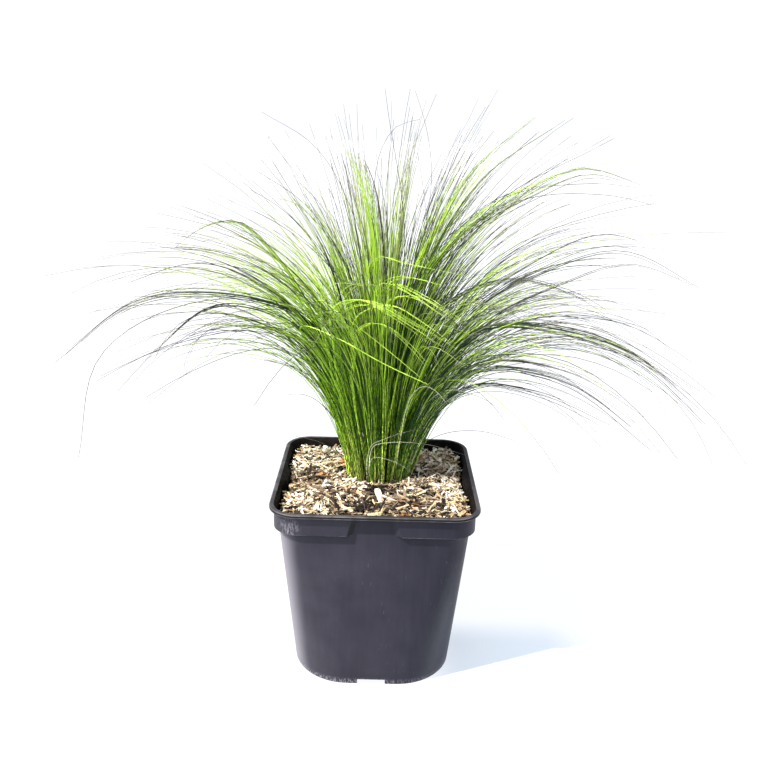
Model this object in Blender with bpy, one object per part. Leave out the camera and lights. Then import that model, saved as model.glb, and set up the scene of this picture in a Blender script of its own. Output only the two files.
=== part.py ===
"""Potted feather grass: a tuft of hair-fine leaves in a square nursery pot with a mulch of wood chips.

Metres, +Z up. The origin is the centre of the pot's footprint, on the ground. -Y is the front.
"""

import math

import bmesh
import bpy
from mathutils import Matrix, Vector, noise

# The pot: a moulded 13 cm square container whose corners grow rounder towards its foot.
POT_HEIGHT = 0.127
RIM_HALF = 0.065
RIM_CORNER = 0.0180
FOOT_HALF = 0.0518
FOOT_CORNER = 0.0360
WALL = 0.0013
LIP_WIDTH = 0.0028
LIP_HEIGHT = 0.0022
EDGE_EASE = 0.0006
CORNER_ARC_STEPS = 6
BODY_LEVELS = (0.030, 0.060, 0.088)

# The collar under the lip stands out from the body, but for a tapered recess midway along each side.
COLLAR_HEIGHT = 0.0152
COLLAR_STEP = 0.0028
COLLAR_HALF = RIM_HALF - LIP_WIDTH
BODY_TOP_HALF = COLLAR_HALF - COLLAR_STEP
RECESS_TOP_HALF = 0.0092
RECESS_FOOT_HALF = 0.0132
RECESS_SLOPE = 0.0036

# The foot is a rim round a raised floor, with a notch midway along each side and holes for drainage.
FLOOR_RAISE = 0.0050
FOOT_RIM = 0.0022
NOTCH_WIDTH = 0.018
NOTCH_HEIGHT = 0.0036
DRAIN_RADIUS = 0.0045
DRAIN_REACH = 0.032
DRAINS_ROUND = 4
DRAIN_SIDES = 12
CUT_PAST = 0.0040

# What fills the pot, from the floor up.
CLEARANCE = 0.0004
MIX_TOP = 0.1070
MULCH_TOP = 0.1195
MULCH_LUMP = 0.0024
MULCH_LUMP_SIZE = 0.0065
MULCH_EDGE_DROP = 0.0030
MULCH_CELLS = 24
WELL_FOOT = 0.0222
WELL_MOUTH = 0.0300
WELL_DEPTH = 0.0220
WELL_OVAL = 0.81
WELL_SIDES = 20

# The tuft of leaves, in four rings of sheaves round the crown.
CROWN = Vector((0.0020, 0.0200, MIX_TOP + CLEARANCE))
CROWN_DEPTH = 0.75
CLEFT = 0.0010
SHEAF_ROOT = 0.0017
SHEAF_TIP = 0.0004
SHEAF_SWELL = 0.0017
SHEAF_STEPS = 9
BEND_DELAY = 1.2

# Each ring: name, its radius, how far its sheaves lean at the root, the first one's bearing, and then
# (lean at the tip, length) of each sheaf anticlockwise from there. Bearing 0 is the right, 90 the back.
RINGS = (
    ("skirt", 0.0185, 15, 0, (
        (126, 0.274), (112, 0.270), (108, 0.245), (102, 0.226), (100, 0.219),
        (100, 0.216), (100, 0.219), (106, 0.228), (118, 0.250), (128, 0.265),
        (145, 0.287), (165, 0.272), (112, 0.240), (92, 0.252), (88, 0.274),
        (88, 0.286), (88, 0.274), (100, 0.240), (118, 0.225), (128, 0.265),
    )),
    ("middle", 0.0132, 10, 12, (
        (98, 0.292), (86, 0.285), (76, 0.265), (66, 0.245), (68, 0.248), (84, 0.268), (104, 0.285),
        (120, 0.290), (86, 0.252), (66, 0.246), (58, 0.242), (62, 0.244), (84, 0.248), (108, 0.272),
    )),
    ("inner", 0.0080, 5, 0, (
        (74, 0.300), (58, 0.300), (42, 0.275), (34, 0.258), (60, 0.275),
        (80, 0.265), (40, 0.235), (36, 0.225), (56, 0.255),
    )),
    ("heart", 0.0038, 2, 45, ((34, 0.272), (10, 0.262), (16, 0.245), (28, 0.250))),
)

# Larger loose chips on the mulch: name, x, y, bearing, length, width, thickness, tilt.
CHIPS = (
    ("pale_chip", -0.0085, -0.0135, 70, 0.0170, 0.0042, 0.0016, 0),
    ("upright_chip", 0.0020, -0.0245, -81, 0.0180, 0.0034, 0.0015, 3),
    ("split_chip", 0.0270, -0.0125, -29, 0.0130, 0.0036, 0.0015, 0),
    ("corner_chip", 0.0485, -0.0370, -72, 0.0150, 0.0036, 0.0015, 3),
    ("pink_chip", -0.0420, -0.0126, 37, 0.0160, 0.0030, 0.0014, 0),
    ("bark_chip", -0.0423, 0.0182, 34, 0.0130, 0.0030, 0.0014, 0),
    ("back_chip", 0.0405, 0.0428, 44, 0.0150, 0.0032, 0.0014, 3),
    ("front_chip", -0.0174, -0.0421, -45, 0.0110, 0.0036, 0.0015, 0),
)
CHIP_TAPER = 0.55
CHIP_BELLY = 0.35
CHIP_ARCH = 0.45

PLASTIC = ("black_plastic", (0.030, 0.029, 0.034), 0.48)
MIX = ("potting_mix", (0.030, 0.020, 0.013), 0.95)
CHIPPED_WOOD = ("chipped_wood", (0.52, 0.40, 0.26), 0.85)
PALE_WOOD = ("pale_wood", (0.78, 0.68, 0.55), 0.80)
BLADE = ("leaf_green", (0.16, 0.36, 0.04), 0.50)


def clear_scene():
    """Starts from a scene with no objects."""
    for obj in list(bpy.data.objects):
        bpy.data.objects.remove(obj, do_unlink=True)


def new_collection(name, hidden=False):
    """A collection in the scene. A hidden one holds shapes that only cut others."""
    collection = bpy.data.collections.new(name)
    collection.hide_render = hidden
    bpy.context.scene.collection.children.link(collection)
    return collection


def material(name, colour, roughness):
    """The Principled material of that name, made once."""
    found = bpy.data.materials.get(name)
    if found:
        return found
    made = bpy.data.materials.new(name)
    made.use_nodes = True
    shader = made.node_tree.nodes["Principled BSDF"]
    shader.inputs["Base Color"].default_value = (*colour, 1.0)
    shader.inputs["Roughness"].default_value = roughness
    shader.inputs["Metallic"].default_value = 0.0
    made.diffuse_color = (*colour, 1.0)
    return made


def add_object(name, data, collection, finish=None):
    """An object in the collection, in the material that finish gives."""
    obj = bpy.data.objects.new(name, data)
    collection.objects.link(obj)
    if finish:
        data.materials.append(material(*finish))
    return obj


def from_bmesh(name, bm, collection, finish=None, smooth_angle=None):
    """An object made from bm, whose faces are turned outwards first."""
    bmesh.ops.recalc_face_normals(bm, faces=bm.faces)
    mesh = bpy.data.meshes.new(name)
    bm.to_mesh(mesh)
    bm.free()
    if smooth_angle:
        mesh.shade_smooth()
        mesh.set_sharp_from_angle(angle=math.radians(smooth_angle))
    return add_object(name, mesh, collection, finish)


def cutter(name, bm, collection):
    """A shape that only cuts others, drawn as wires."""
    obj = from_bmesh(name, bm, collection)
    obj.hide_render = True
    obj.display_type = "WIRE"
    return obj


def boolean(obj, other, operation="DIFFERENCE"):
    """Cuts obj with other, or keeps only what lies in both."""
    modifier = obj.modifiers.new(other.name, "BOOLEAN")
    modifier.operation = operation
    modifier.solver = "EXACT"
    modifier.object = other


def loft(rings):
    """A closed skin over rings with the same number of points, with the first and last ring capped."""
    bm = bmesh.new()
    loops = [[bm.verts.new(point) for point in ring] for ring in rings]
    count = len(loops[0])
    for low, high in zip(loops, loops[1:]):
        for i in range(count):
            after = (i + 1) % count
            bm.faces.new((low[i], low[after], high[after], high[i]))
    bm.faces.new(loops[0])
    bm.faces.new(loops[-1])
    return bm


def square_ring(z, half, corner, recess_half=None, recess_reach=None, slope=0.0):
    """Points round a rounded square at height z, anticlockwise from the front left.

    Midway along each side the outline steps in to recess_half over recess_reach each way, and slopes back.
    """
    straight = half - corner
    inner = straight / 3 if recess_reach is None else recess_reach
    outer = straight * 2 / 3 if recess_reach is None else recess_reach + slope
    middle = half if recess_half is None else recess_half
    side = [
        (-straight, half), (-outer, half), (-inner, middle),
        (inner, middle), (outer, half), (straight, half),
    ]
    for step in range(1, CORNER_ARC_STEPS):
        turn = math.radians(90 * step / CORNER_ARC_STEPS)
        side.append((straight + corner * math.sin(turn), straight + corner * math.cos(turn)))
    points = []
    for quarter in range(4):
        turned = Matrix.Rotation(math.radians(90 * quarter), 3, "Z")
        points += [turned @ Vector((along, -out, z)) for along, out in side]
    return points


def body_at(z):
    """Half width and corner radius of the pot's body at height z, below the collar."""
    share = z / (POT_HEIGHT - COLLAR_HEIGHT)
    half = FOOT_HALF + (BODY_TOP_HALF - FOOT_HALF) * share
    corner = FOOT_CORNER + (RIM_CORNER - LIP_WIDTH - FOOT_CORNER) * share
    return half, corner


def body_ring(z, inset=0.0):
    """The body's outline at height z, or one inset from it."""
    half, corner = body_at(z)
    return square_ring(z, half - inset, corner - inset)


def collar_ring(z, inset=0.0):
    """The collar's outline at height z: four corner panels with a recess between each two."""
    share = (POT_HEIGHT - z) / COLLAR_HEIGHT
    reach = RECESS_TOP_HALF + (RECESS_FOOT_HALF - RECESS_TOP_HALF) * share
    half = COLLAR_HALF - inset
    return square_ring(
        z, half, RIM_CORNER - LIP_WIDTH - inset, half - COLLAR_STEP, reach - inset, RECESS_SLOPE
    )


def pot_rings():
    """The pot's rings, from under its floor, round the foot, up the outside, over the lip and down inside."""
    collar_foot = POT_HEIGHT - COLLAR_HEIGHT
    lip_foot = POT_HEIGHT - LIP_HEIGHT
    inside_levels = (collar_foot, *reversed(BODY_LEVELS), FLOOR_RAISE + WALL)
    return [
        body_ring(FLOOR_RAISE, FOOT_RIM + EDGE_EASE),
        body_ring(0.0, FOOT_RIM),
        body_ring(0.0, EDGE_EASE),
        body_ring(2 * EDGE_EASE),
        *[body_ring(z) for z in BODY_LEVELS],
        body_ring(collar_foot),
        collar_ring(collar_foot + EDGE_EASE),
        collar_ring(lip_foot),
        square_ring(lip_foot, RIM_HALF, RIM_CORNER),
        square_ring(POT_HEIGHT - EDGE_EASE, RIM_HALF, RIM_CORNER),
        square_ring(POT_HEIGHT, RIM_HALF - EDGE_EASE, RIM_CORNER - EDGE_EASE),
        collar_ring(POT_HEIGHT, WALL),
        collar_ring(collar_foot + EDGE_EASE + WALL, WALL),
        *[body_ring(z, WALL) for z in inside_levels],
    ]


def foot_notches(collection):
    """Four blocks that cut a notch midway along each side of the foot."""
    bm = bmesh.new()
    for quarter in range(4):
        turned = Matrix.Rotation(math.radians(90 * quarter), 4, "Z")
        moved = Matrix.Translation((0, -FOOT_HALF, (NOTCH_HEIGHT - CUT_PAST) / 2))
        sized = Matrix.Diagonal((NOTCH_WIDTH, 2 * (FOOT_RIM + CUT_PAST), NOTCH_HEIGHT + CUT_PAST, 1))
        bmesh.ops.create_cube(bm, size=1.0, matrix=turned @ moved @ sized)
    return cutter("foot_notch_cutter", bm, collection)


def drain_holes(collection):
    """One hole in the middle of the floor and one towards each corner."""
    bm = bmesh.new()
    places = [Vector((0, 0, 0))]
    for k in range(DRAINS_ROUND):
        turn = 2 * math.pi * (k + 0.5) / DRAINS_ROUND
        places.append(Vector((math.cos(turn), math.sin(turn), 0)) * DRAIN_REACH)
    for place in places:
        bmesh.ops.create_cone(
            bm, cap_ends=True, segments=DRAIN_SIDES, radius1=DRAIN_RADIUS, radius2=DRAIN_RADIUS,
            depth=2 * CUT_PAST, matrix=Matrix.Translation(place + Vector((0, 0, FLOOR_RAISE))),
        )
    return cutter("drain_hole_cutter", bm, collection)


def make_pot(parts, cutters):
    """The pot, with its foot notched and its floor pierced."""
    pot = from_bmesh("pot", loft(pot_rings()), parts, PLASTIC, smooth_angle=40)
    boolean(pot, foot_notches(cutters))
    boolean(pot, drain_holes(cutters))
    return pot


def make_potting_mix(parts):
    """The potting mix fills the pot from its floor to under the mulch."""
    floor = FLOOR_RAISE + WALL + CLEARANCE
    rings = [body_ring(z, WALL + CLEARANCE) for z in (floor, *BODY_LEVELS, MIX_TOP)]
    return from_bmesh("potting_mix", loft(rings), parts, MIX)


def mulch_height(x, y):
    """Height of the mulch's top: lumpy with chips, and lower where it meets the wall."""
    place = Vector((x, y, 0.0)) / MULCH_LUMP_SIZE
    lumps = noise.noise(place) + noise.noise(2 * place) / 2
    edge = max(abs(x), abs(y)) / BODY_TOP_HALF
    return MULCH_TOP + MULCH_LUMP / 2 * lumps - MULCH_EDGE_DROP * edge ** 6


def mulch_block():
    """A block whose top follows mulch_height, wider than the pot."""
    bm = bmesh.new()
    bmesh.ops.create_grid(bm, x_segments=MULCH_CELLS, y_segments=MULCH_CELLS, size=RIM_HALF)
    floor = bmesh.ops.extrude_face_region(bm, geom=bm.faces[:])["geom"]
    below = {item for item in floor if isinstance(item, bmesh.types.BMVert)}
    for vert in bm.verts:
        vert.co.z = MIX_TOP - CUT_PAST if vert in below else mulch_height(vert.co.x, vert.co.y)
    return bm


def mulch_mould(cutters):
    """The room for mulch inside the pot, above the potting mix."""
    collar_foot = POT_HEIGHT - COLLAR_HEIGHT
    half, corner = body_at(collar_foot)
    inset = WALL + CLEARANCE
    rings = [
        body_ring(MIX_TOP + CLEARANCE, inset),
        body_ring(collar_foot, inset),
        square_ring(POT_HEIGHT, half - inset, corner - inset),
    ]
    return cutter("mulch_mould", loft(rings), cutters)


def crown_well(cutters):
    """The oval gap that the mulch leaves round the crown, wider at the top, where the sheaves lean out."""
    bm = bmesh.new()
    place = Matrix.Translation((CROWN.x, CROWN.y, MIX_TOP + WELL_DEPTH / 2))
    oval = Matrix.Diagonal((1, WELL_OVAL, 1, 1))
    bmesh.ops.create_cone(
        bm, cap_ends=True, segments=WELL_SIDES, radius1=WELL_FOOT, radius2=WELL_MOUTH,
        depth=WELL_DEPTH, matrix=place @ oval,
    )
    return cutter("crown_well_cutter", bm, cutters)


def make_mulch(parts, cutters):
    """The bed of small chips, one solid with a gap for the crown."""
    mulch = from_bmesh("mulch", mulch_block(), parts, CHIPPED_WOOD)
    boolean(mulch, mulch_mould(cutters), "INTERSECT")
    boolean(mulch, crown_well(cutters))
    return mulch


def chip_blank():
    """A split chip one unit long, wide and thick: a block that narrows towards one end and bends a little."""
    bm = bmesh.new()
    bmesh.ops.create_cube(bm, size=1.0)
    lengthwise = [edge for edge in bm.edges if abs(edge.verts[0].co.x - edge.verts[1].co.x) > 0.5]
    bmesh.ops.subdivide_edges(bm, edges=lengthwise, cuts=2)
    for vert in bm.verts:
        along = vert.co.x + 0.5
        vert.co.y *= 1 - (1 - CHIP_TAPER) * along + CHIP_BELLY * math.sin(math.pi * along)
        vert.co.z += CHIP_ARCH * math.sin(math.pi * along)
    return bm


def make_chip(parts, name, x, y, bearing, length, width, thickness, tilt):
    """A chip that lies on the highest lump of mulch beneath it."""
    bm = chip_blank()
    sized = Matrix.Diagonal((length, width, thickness, 1))
    tilted = Matrix.Rotation(math.radians(tilt), 4, "Y")
    turned = Matrix.Rotation(math.radians(bearing), 4, "Z")
    bmesh.ops.transform(bm, matrix=turned @ tilted @ sized, verts=bm.verts)
    reach = [(vert.co.x, vert.co.y) for vert in bm.verts] + [(0.0, 0.0)]
    ground = max(
        mulch_height(x + share * dx, y + share * dy)
        for dx, dy in reach for share in (0.25, 0.5, 0.75, 1.0)
    )
    lowest = min(vert.co.z for vert in bm.verts)
    chip = from_bmesh(name, bm, parts, PALE_WOOD)
    chip.location = (x, y, ground + CLEARANCE - lowest)
    return chip


def sheaf_line(root, bearing, root_lean, tip_lean, length):
    """Points up a sheaf. It stands stiffly on its root, bends over midway and hangs straight at the tip."""
    outward = Vector((math.cos(bearing), math.sin(bearing), 0.0))
    step = length / SHEAF_STEPS
    points = [root.copy()]
    for k in range(SHEAF_STEPS):
        share = ((k + 0.5) / SHEAF_STEPS) ** BEND_DELAY
        bend = share * share * (3 - 2 * share)
        lean = math.radians(root_lean + (tip_lean - root_lean) * bend)
        points.append(points[-1] + step * (outward * math.sin(lean) + Vector((0, 0, math.cos(lean)))))
    return points


def sheaf_radius(share):
    """The sheaf fans out from its root, is thickest below the middle and ends in a point."""
    taper = SHEAF_ROOT + (SHEAF_TIP - SHEAF_ROOT) * share
    return taper + SHEAF_SWELL * math.sin(math.pi * share ** 0.7) ** 2


def make_sheaf(parts, name, points):
    """A tube along the points, as thick at each as the sheaf is there."""
    curve = bpy.data.curves.new(name, "CURVE")
    curve.dimensions = "3D"
    curve.bevel_depth = 1.0
    curve.bevel_resolution = 1
    curve.use_fill_caps = True
    spline = curve.splines.new("POLY")
    spline.points.add(len(points) - 1)
    for k, point in enumerate(points):
        spline.points[k].co = (*point, 1.0)
        spline.points[k].radius = sheaf_radius(k / SHEAF_STEPS)
    return add_object(name, curve, parts, BLADE)


def make_tuft(parts):
    """Every sheaf of the tuft, named for its ring and numbered anticlockwise from the right."""
    for ring, radius, root_lean, first, reaches in RINGS:
        for k, (tip_lean, length) in enumerate(reaches):
            bearing = math.radians(first + 360 * k / len(reaches))
            root = CROWN + radius * Vector((math.cos(bearing), CROWN_DEPTH * math.sin(bearing), 0))
            root.x += math.copysign(CLEFT, math.cos(bearing))
            root.z += SHEAF_ROOT * math.sin(math.radians(root_lean))
            points = sheaf_line(root, bearing, root_lean, tip_lean, length)
            make_sheaf(parts, f"{ring}_sheaf_{k + 1:02d}", points)


def main():
    """Builds the pot from the outside in, and then the tuft."""
    clear_scene()
    parts = new_collection("potted_feather_grass")
    cutters = new_collection("cutters", hidden=True)
    make_pot(parts, cutters)
    make_potting_mix(parts)
    make_mulch(parts, cutters)
    for chip in CHIPS:
        make_chip(parts, *chip)
    make_tuft(parts)


main()
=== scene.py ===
import random
from functools import partial
from math import copysign, cos, pi, radians, sin

import bmesh
import bpy
from mathutils import Matrix, Vector, geometry, noise


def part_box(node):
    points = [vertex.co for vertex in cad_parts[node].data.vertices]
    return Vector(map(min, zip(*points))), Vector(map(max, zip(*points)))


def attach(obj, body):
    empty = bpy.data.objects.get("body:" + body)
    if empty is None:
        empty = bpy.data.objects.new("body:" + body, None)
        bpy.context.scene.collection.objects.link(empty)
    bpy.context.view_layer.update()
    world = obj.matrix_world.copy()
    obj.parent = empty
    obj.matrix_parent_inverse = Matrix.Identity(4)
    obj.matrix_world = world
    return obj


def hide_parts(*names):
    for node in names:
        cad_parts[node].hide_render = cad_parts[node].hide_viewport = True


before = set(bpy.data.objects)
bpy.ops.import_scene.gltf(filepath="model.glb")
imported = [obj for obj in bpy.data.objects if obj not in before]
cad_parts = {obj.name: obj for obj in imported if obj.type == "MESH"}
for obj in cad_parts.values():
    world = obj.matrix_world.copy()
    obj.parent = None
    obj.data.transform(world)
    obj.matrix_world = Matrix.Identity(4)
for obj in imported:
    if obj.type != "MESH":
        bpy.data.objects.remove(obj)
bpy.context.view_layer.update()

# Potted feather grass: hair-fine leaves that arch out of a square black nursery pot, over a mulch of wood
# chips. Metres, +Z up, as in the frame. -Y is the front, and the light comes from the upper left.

# The camera stands in front, a little above the leaves, and leans a degree or so.
PICTURE_PIXELS = 760
FOCAL_PIXELS = 860
SENSOR_MM = 36
CAMERA_AIM = Vector((0.0012, 0.0, 0.1922))
CAMERA_DISTANCE = 0.5529
CAMERA_RISE = 17.7
CAMERA_ROLL = 1.39

# A sun over the left shoulder, and a sky that burns out to white low down and is dimmer overhead.
SUN_BEARING = 211
SUN_RISE = 48
SUN_STRENGTH = 8.2
SUN_SPREAD = 2.5
SUN_COLOUR = "FFF6E6"
SKY_COLOUR = "F6F9FF"
SKY_STRENGTH = 1.12
SKY_OVERHEAD = 0.36
SKY_BAND = 0.28
FLOOR_HALF = 9.0
FLOOR_GLOW = 1.01
SHADOW_GLOW = 0.41
SHADOW_MIDDLE = (0.092, -0.032, 0.0)
SHADOW_HALVES = (0.028, 0.028, 1.0)
SHADOW_FADE = 0.036

# The pot, moulded with its walls at a slant and its corners rounder towards the foot.
POT_HEIGHT = 0.127
RIM_HALF = 0.065
RIM_CORNER = 0.018
FOOT_HALF = 0.0518
FOOT_CORNER = 0.036
WALL = 0.0013
LIP_WIDTH = 0.0028
LIP_HEIGHT = 0.0022
EDGE_EASE = 0.0006
CORNER_ARC_STEPS = 16
BODY_LEVELS = (0.012, 0.03, 0.048, 0.066, 0.084, 0.10)
COLLAR_HEIGHT = 0.0152
COLLAR_STEP = 0.0028
COLLAR_HALF = RIM_HALF - LIP_WIDTH
BODY_TOP_HALF = COLLAR_HALF - COLLAR_STEP
RECESS_TOP_HALF = 0.0092
RECESS_FOOT_HALF = 0.0132
RECESS_SLOPE = 0.0036
FLOOR_RAISE = 0.005
FOOT_RIM = 0.0022
NOTCH_WIDTH = 0.018
NOTCH_HEIGHT = 0.0036
DRAIN_RADIUS = 0.0045
DRAIN_REACH = 0.032
DRAINS_ROUND = 4
DRAIN_SIDES = 32
CUT_PAST = 0.004
MOULDED_EDGE = 0.00025
# Painted highlight lines along the lip, near its foot and near its top, and how strong they are.
LIP_HIGHLIGHTS = (POT_HEIGHT - LIP_HEIGHT + 0.0003, POT_HEIGHT - 0.0003)
LIP_HIGHLIGHT_STRENGTH = 0.24
INSIDE_FACING = -0.30
# A painted highlight down the left front corner of the wall: how far in it reaches, how strong it is, and
# the height under which it is full.
HIGHLIGHT_REACH = 0.013
HIGHLIGHT_STRONGEST = 0.45
HIGHLIGHT_TOP = 0.108
# A painted highlight lies along a stretch under the right front panel; the collar's left front corner is
# scuffed.
HIGHLIT_STRETCH = (0.028, -0.0622, 0.1118)
SCUFFED_CORNER = (-0.0515, -0.0615, 0.117)
SHARP_DEGREES = 32

# The mulch, a bed of chips up to the foot of the leaves.
MIX_TOP = 0.107
CLEARANCE = 0.0004
MULCH_TOP = 0.1195
MULCH_LUMP = 0.0024
MULCH_LUMP_SIZE = 0.0065
MULCH_EDGE_DROP = 0.0015
MULCH_BACK_RISE = 0.0012
BED_CELLS = 40
BED_HALF = BODY_TOP_HALF - WALL
BED_CORNER = RIM_CORNER - LIP_WIDTH - COLLAR_STEP
CHIP_DEPTH = 0.0022
CHIP_RISE = 0.0028
CHIP_MARGIN = 0.0008
WELL_RADIUS = 0.029
WELL_FILL = 0.0095
CROWN_SINK = 0.0085
CROWN_RIM = 0.036
CROWN_BARE = 0.015
CHIP_WALL_GAP = 0.0009
CHIP_TEAR = 0.00013
# The chips are darker in front of the crown, painted paler to both sides as painted light, and dark at a
# few spots.
CHIP_DARKENING = 0.19
CHIP_PAINTED_LIGHT = 0.26
CHIP_SHADE_X = 0.008
CHIP_PATCHES = 0.24
DARK_SPOTS = ((0.0016, -0.0161), (-0.0425, 0.0068), (-0.008, -0.04))
SPOT_DARKENING = 0.55
SPOT_REACH = (0.004, 0.012)
CHIP_DARKER_FRONT = (-0.048, -0.012)
CHIP_SHADE_REACH = (0.01, 0.042)
CHIP_THICKNESS = 0.42
# How far a chip may roll, tip and turn, in radians.
CHIP_TURNS = (0.9, 0.50, 6.28)
RESIN_SPOTS = ((-0.022, 0.032, MULCH_TOP), (0.0245, -0.035, MULCH_TOP))

# Each kind of small chip: name, chips per square metre, shortest, longest, narrowest, widest.
CHIP_KINDS = (
    ("mulch_flakes", 48000.0, 0.004, 0.0105, 0.0014, 0.0026),
    ("mulch_slivers", 250000.0, 0.0045, 0.015, 0.0006, 0.0013),
    ("mulch_fines", 120000.0, 0.0015, 0.0045, 0.0004, 0.0009),
)

# Larger loose chips: name, x, y, bearing, length, width, thickness, tilt, and how pale the wood is.
LOOSE_CHIPS = (
    ("pale_chip", -0.0085, -0.0135, 70, 0.017, 0.0042, 0.0016, 0, 0.97),
    ("upright_chip", 0.002, -0.0245, -81, 0.018, 0.0034, 0.0015, 3, 0.99),
    ("split_chip", 0.027, -0.0125, -29, 0.013, 0.0036, 0.0015, 0, 0.95),
    ("corner_chip", 0.0485, -0.037, -72, 0.015, 0.0036, 0.0015, 3, 0.93),
    ("pink_chip", -0.042, -0.0126, 37, 0.016, 0.003, 0.0014, 0, 0.62),
    ("bark_chip", -0.0423, 0.0182, 34, 0.013, 0.003, 0.0014, 0, 0.22),
    ("back_chip", 0.0405, 0.0428, 44, 0.015, 0.0032, 0.0014, 3, 0.45),
    ("front_chip", -0.0174, -0.0421, -45, 0.011, 0.0036, 0.0015, 0, 0.90),
)
CHIP_TAPER = 0.55
CHIP_BELLY = 0.35
CHIP_ARCH = 0.45
CHIP_RIDGES = 0.22
CHIP_RAGGED = 0.05
CHIP_WOBBLE = 0.06
CHIP_SQUARENESS = 0.6
LOOSE_STEPS = 16
LOOSE_SIDES = 10

# The leaves follow the sheaves of the frame, in four rings round the crown.
CROWN = Vector((0.002, 0.02, MIX_TOP + CLEARANCE))
CROWN_DEPTH = 0.75
CLEFT = 0.0016
CLEFT_X = -0.006
SHEAF_ROOT = 0.0017
BEND_DELAY = 1.2
ROOT_NARROWING = 0.86
GUIDE_STEPS = 26
LOCK_STEPS = 18
LEAF_SIDES = 3
LEAF_WIDTH = 0.0005
LEAF_TIP = 0.42
TAPER_DELAY = 3.5
STRAND_LEAVES = 3
OWN_TURN = 0.13
OWN_TINT = 0.60
OWN_SPREAD = 0.32
STRAND_DRIFT = 5.3
LEAF_DRIFT = 0.17
LEAF_STOUTNESS = (0.7, 1.15)
# Each is added to a lock's seed, for picks by chance that have nothing to do with one another.
KIN_SEED = 1000.0
FATE_SEED = 2000.0
SIDE_SEED = 3000.0
ROOT_SPREAD = 0.0024
WAVE_LENGTH = 0.11

# Each ring: name, radius, its leaves' lean at the root, the first lock's bearing, the leaves in a lock, and
# then (lean at the tip, length) of each lock anticlockwise. Bearing 0 is the right, 90 the back.
RINGS = (
    ("skirt", 0.0185, 15, 0, 70, (
        (126, 0.274), (112, 0.27), (108, 0.245), (102, 0.226), (100, 0.219),
        (100, 0.216), (100, 0.219), (106, 0.228), (118, 0.25), (128, 0.265),
        (145, 0.287), (165, 0.272), (112, 0.24), (92, 0.252), (88, 0.274),
        (88, 0.286), (88, 0.274), (100, 0.24), (118, 0.225), (128, 0.265),
    )),
    ("middle", 0.0132, 10, 12, 62, (
        (98, 0.292), (86, 0.285), (76, 0.265), (66, 0.245), (68, 0.248), (84, 0.268), (104, 0.285),
        (120, 0.29), (86, 0.252), (66, 0.246), (58, 0.242), (62, 0.244), (84, 0.248), (108, 0.272),
    )),
    ("inner", 0.008, 5, 0, 70, (
        (74, 0.30), (58, 0.30), (42, 0.275), (34, 0.258), (60, 0.275),
        (80, 0.265), (40, 0.235), (36, 0.225), (56, 0.255),
    )),
    ("heart", 0.0038, 2, 45, 44, ((34, 0.272), (10, 0.262), (16, 0.245), (28, 0.25))),
)

# How a lock's leaves part from each other: the furthest turn sideways and up or down, in degrees, the
# shortest leaf as a share of the longest, and how far a leaf wanders.
LOCK_FAN = 46
LOCK_BEND = 30
LEVEL_LEAN = 92
STEEPEST_LEAN = 165
STEEPEST_LIFT = 0.9
DROOP_RIGHT = {"skirt": 0.40, "inner": -0.30}
THIN_LEFT = {"skirt": 0.62, "middle": 0.60, "inner": 0.30, "heart": 0.0}
RIPER_LEFT = 0.10
THIN_RIGHT = 0.45
TIGHT_BACK = 0.75
TIGHT_FRONT = 0.55
SHADE_BEARING = -30
RIGHT_BRIGHTEST = 0.92
LEFT_DULLEST = 0.46
DRIED_RIGHT = {"skirt": 0.40, "middle": 0.15}
SHORTEST_LEAVES = {"skirt": 0.34, "middle": 0.38, "inner": 0.58, "heart": 0.64}
LEAF_WANDER = 0.022
LOCK_LOOSENESS = (0.45, 1.0, 0.75, 1.25, 0.6, 0.9, 1.15)

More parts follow.
